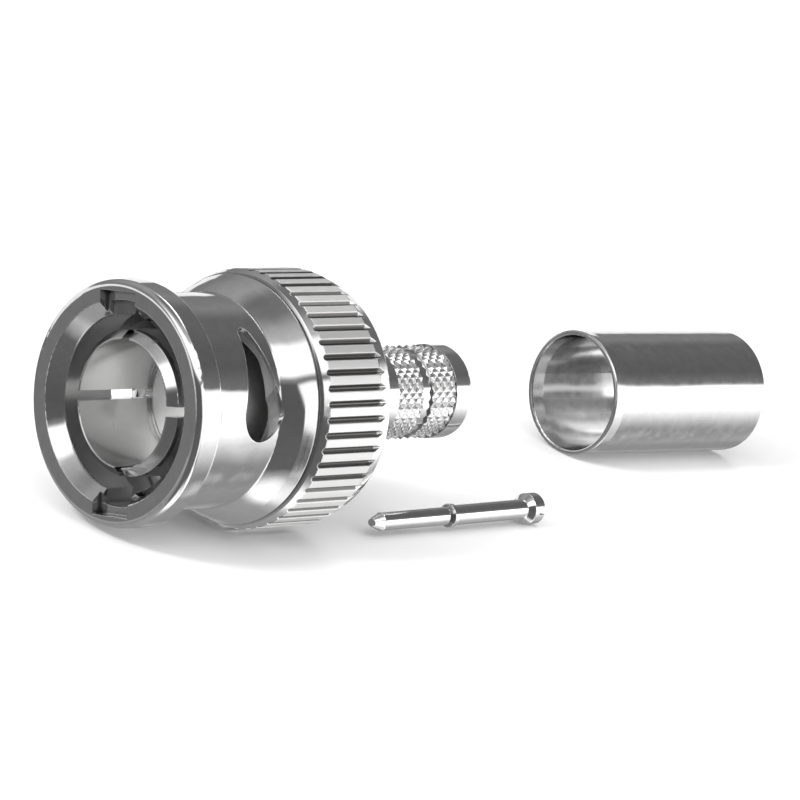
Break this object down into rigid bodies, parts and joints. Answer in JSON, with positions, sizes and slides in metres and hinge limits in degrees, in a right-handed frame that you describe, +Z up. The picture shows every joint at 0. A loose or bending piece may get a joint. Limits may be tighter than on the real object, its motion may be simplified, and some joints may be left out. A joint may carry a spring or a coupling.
{
  "type": "bayonet coaxial plug",
  "caption": "Bayonet-lock coaxial plug for crimping, with a fluted coupling nut, slotted outer contact, knurled stem, loose contact pin and loose ferrule.",
  "frame": {"origin": "on the plug's axis at the mating reference plane, the front face of the insulator", "axes": "-X points out of the plug's mouth, +X towards the cable, +Z up from the surface that the grip, the contact and the ferrule lie on"},
  "size_m": [0.0601, 0.0184, 0.0146],
  "materials": {
    "nickel_nut": "polished nickel plate",
    "nickel_body": "polished nickel plate",
    "nickel_contact": "polished nickel plate",
    "nickel_ferrule": "polished nickel plate",
    "insulator": "smooth white fluoroplastic",
    "gasket": "pale silicone",
    "spring_metal": "plated spring strip"
  },
  "bodies": {
    "plug_body": {"contact_body": "nickel_body", "crimp_stem": "nickel_body", "front_insulator": "insulator", "rear_insulator": "insulator", "mating_gasket": "gasket", "front_washer": "spring_metal", "wave_spring_front": "spring_metal", "wave_spring_rear": "spring_metal", "retaining_ring": "spring_metal", "center_contact": "nickel_contact", "crimp_ferrule": "nickel_ferrule"},
    "nut_carrier": {"thrust_washer": "spring_metal"},
    "nut": {"coupling_nut": "nickel_nut"}
  },
  "joints": [
    {"name": "nut_slide", "type": "slide", "parent": "plug_body", "child": "nut_carrier", "axis": [-1, 0, 0], "range_m": [0, 0.0006], "stiffness_N_per_m": 3000, "springref_m": -0.001, "deforming": ["wave_spring_front", "wave_spring_rear"]},
    {"name": "nut_spin", "type": "hinge", "parent": "nut_carrier", "child": "nut", "pos_m": [0.005, 0, 0], "axis": [1, 0, 0], "continuous": true}
  ]
}
